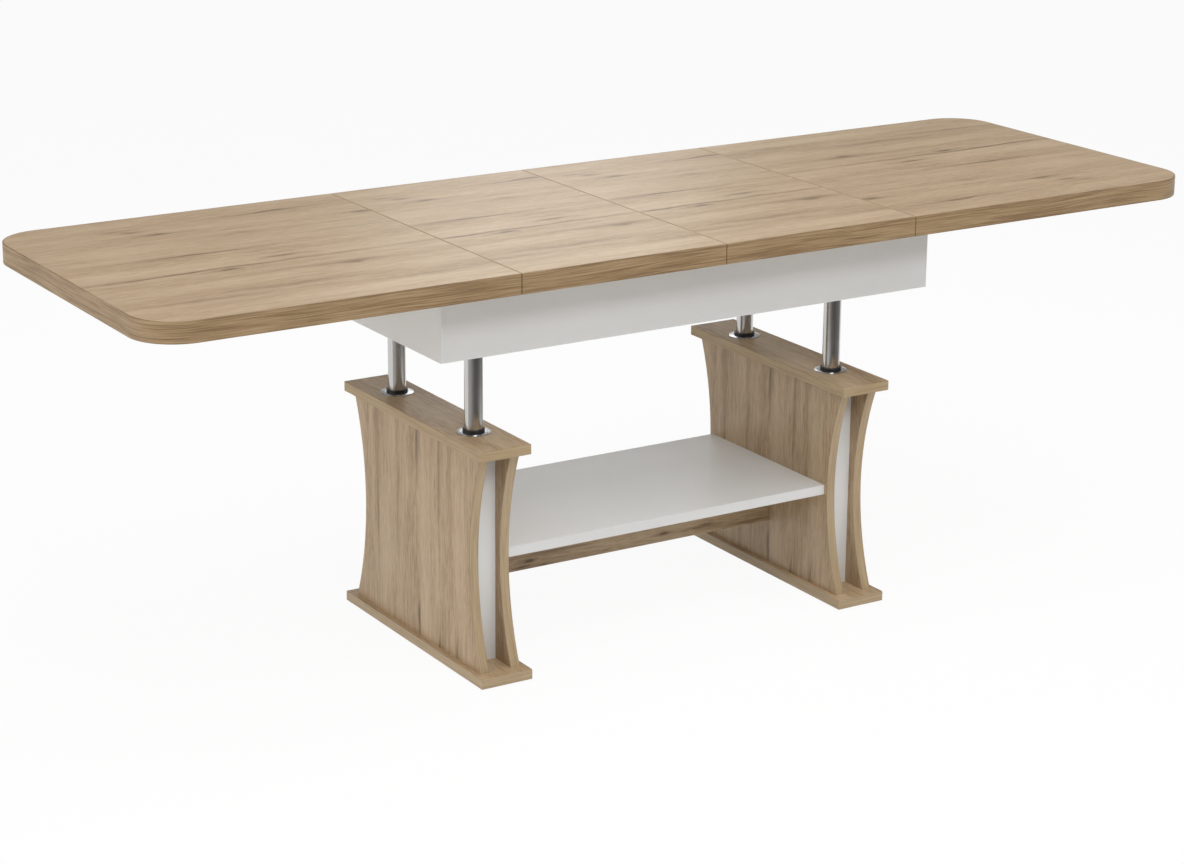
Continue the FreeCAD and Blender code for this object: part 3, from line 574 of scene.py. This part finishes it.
# Lamps: place, the point they look at, size and watts
Lamp = namedtuple("Lamp", "name place target width height power")
LAMPS = [
    Lamp("overhead_box", (0.0, -1.0, 3.3), (0.0, 0.0, 0.7), 3.6, 2.4, 60.0),
    Lamp("left_box", (-4.2, 0.4, 1.5), (-0.3, 0.0, 0.4), 2.4, 2.2, 43.0),
    Lamp("front_box", (-0.8, -4.4, 3.9), (0.0, 0.0, 0.5), 3.0, 1.2, 74.0),
    Lamp("rear_box", (1.41, 2.60, 1.70), (-0.2, 0.0, 0.75), 0.9, 0.7, 5.6),
]


def floor_finish():
    """White that looks lit through to the camera and in reflections, and keeps a part of its shadow."""
    graph = Graph("studio_floor")
    graph.surface(Base_Color=FLOOR_COLOUR, Roughness=1.0, Specular_IOR_Level=0.0)
    path = graph.add("ShaderNodeLightPath")
    seen = graph.math("MAXIMUM", path.outputs["Is Camera Ray"], path.outputs["Is Glossy Ray"])
    seen = graph.math("MAXIMUM", seen, path.outputs["Is Transmission Ray"])
    glow = graph.add("ShaderNodeEmission", {"Color": WHITE, "Strength": 1.0})
    share = graph.math("MULTIPLY", seen, FLOOR_WHITENESS)
    mixed = graph.add("ShaderNodeMixShader", (share, graph.shader.outputs[0], glow.outputs[0]))
    graph.put(graph.tree.nodes["Material Output"].inputs["Surface"], mixed.outputs[0])
    return graph.material


def white_floor():
    """Round floor with a wall round its far rim."""
    mesh = bpy.data.meshes.new("floor")
    shape = bmesh.new()
    bmesh.ops.create_circle(shape, cap_ends=True, segments=FLOOR_SEGMENTS, radius=FLOOR_RADIUS)
    wall = bmesh.ops.extrude_edge_only(shape, edges=shape.edges[:])
    wall_top = [item for item in wall["geom"] if isinstance(item, bmesh.types.BMVert)]
    bmesh.ops.translate(shape, verts=wall_top, vec=(0.0, 0.0, WALL_HEIGHT))
    shape.to_mesh(mesh)
    shape.free()
    mesh.materials.append(floor_finish())
    floor = bpy.data.objects.new("floor", mesh)
    bpy.context.scene.collection.objects.link(floor)


def flag_finish():
    """Grey cloth, darkest in the middle of the card."""
    graph = Graph("flag_cloth")
    place = graph.split(graph.position())
    turn = graph.math("MULTIPLY_ADD", graph.math("ARCTAN2", place[Y], place[X]), 1 / math.pi, 1.0)
    greys = [(turn_place, even(grey)) for turn_place, grey in FLAG_GREYS]
    graph.surface(Base_Color=graph.ramp(turn, greys), Roughness=1.0)
    return graph.material


def dark_flag():
    """Curved card in front of the table, which only shows as the dark stripe in the metal."""
    points = []
    faces = []
    for step in range(FLAG_STEPS + 1):
        angle = math.radians(FLAG_START + (FLAG_STOP - FLAG_START) * step / FLAG_STEPS)
        for height in (0.0, FLAG_HEIGHT):
            points.append((FLAG_RADIUS * math.cos(angle), FLAG_RADIUS * math.sin(angle), height))
        if step:
            corner = 2 * step
            faces.append((corner - 2, corner - 1, corner + 1, corner))
    mesh = bpy.data.meshes.new("flag")
    mesh.from_pydata(points, [], faces)
    mesh.materials.append(flag_finish())
    flag = bpy.data.objects.new("flag", mesh)
    bpy.context.scene.collection.objects.link(flag)
    flag.visible_camera = False
    flag.visible_diffuse = False
    flag.visible_shadow = False
    flag.visible_transmission = False


def softbox(lamp):
    light = bpy.data.lights.new(lamp.name, "AREA")
    light.shape = "RECTANGLE"
    light.size = lamp.width
    light.size_y = lamp.height
    light.energy = lamp.power
    box = bpy.data.objects.new(lamp.name, light)
    bpy.context.scene.collection.objects.link(box)
    box.location = lamp.place
    box.rotation_euler = (Vector(lamp.target) - Vector(lamp.place)).to_track_quat("-Z", "Y").to_euler()
    box.visible_camera = False


def studio_light():
    world = bpy.data.worlds.new("studio")
    world.use_nodes = True
    background = world.node_tree.nodes["Background"]
    background.inputs["Color"].default_value = WHITE
    background.inputs["Strength"].default_value = WORLD_STRENGTH
    bpy.context.scene.world = world
    for lamp in LAMPS:
        softbox(lamp)


def photo_camera():
    camera = bpy.data.cameras.new("photo_camera")
    camera.lens = CAMERA_LENS
    camera.sensor_width = SENSOR_WIDTH
    camera.sensor_fit = "HORIZONTAL"
    camera.shift_x, camera.shift_y = CAMERA_SHIFT
    eye = bpy.data.objects.new("photo_camera", camera)
    bpy.context.scene.collection.objects.link(eye)
    turn = CAMERA_FORWARD.to_track_quat("-Z", "Y").to_matrix().to_4x4()
    eye.matrix_world = Matrix.Translation(CAMERA_PLACE) @ turn @ Matrix.Rotation(CAMERA_ROLL, 4, "Z")
    bpy.context.scene.camera = eye


dress_by_slot()
dress_top()
dress_pedestals()
white_floor()
dark_flag()
studio_light()
photo_camera()
bpy.context.scene.view_settings.view_transform = "Standard"
